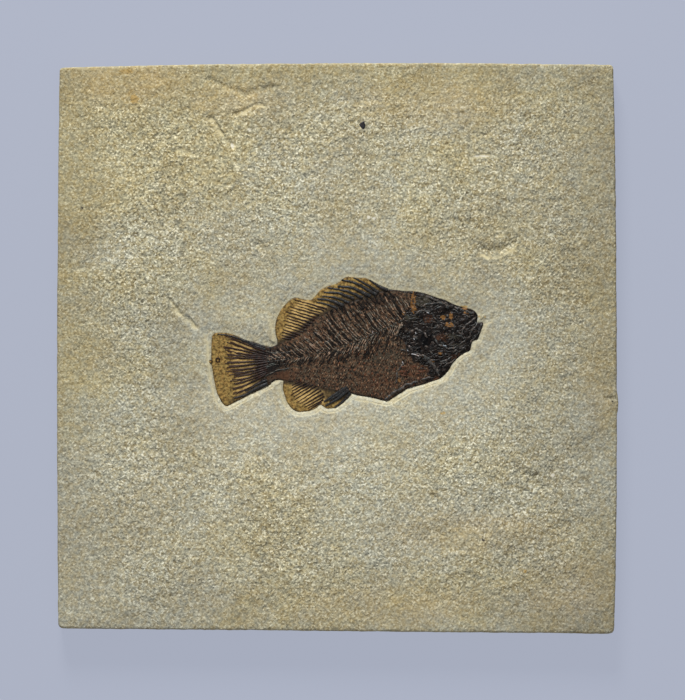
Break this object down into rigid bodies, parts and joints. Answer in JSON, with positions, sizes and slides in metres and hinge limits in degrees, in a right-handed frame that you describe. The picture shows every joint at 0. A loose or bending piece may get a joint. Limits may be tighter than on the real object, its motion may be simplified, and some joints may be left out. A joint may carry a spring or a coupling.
{
  "type": "fossil fish slab",
  "caption": "Sawn square limestone slab with a flattened, perch-like fossil fish lying in a shallow prepared trough in its face.",
  "frame": {"origin": "centre of the bounding box on the slab's underside", "axes": "+Z out of the fossil face, +Y towards the fish's back, +X towards its snout"},
  "size_m": [0.2811, 0.2857, 0.0144],
  "materials": {
    "limestone": "matt, granular, scraped",
    "fish_bone": "dark brown mineralised bone with ochre fins, satin",
    "black_bone": "black mineralised bone, satin"
  },
  "bodies": {
    "root": {"slab": "limestone", "fish": "fish_bone", "fleck": "black_bone"}
  },
  "joints": []
}
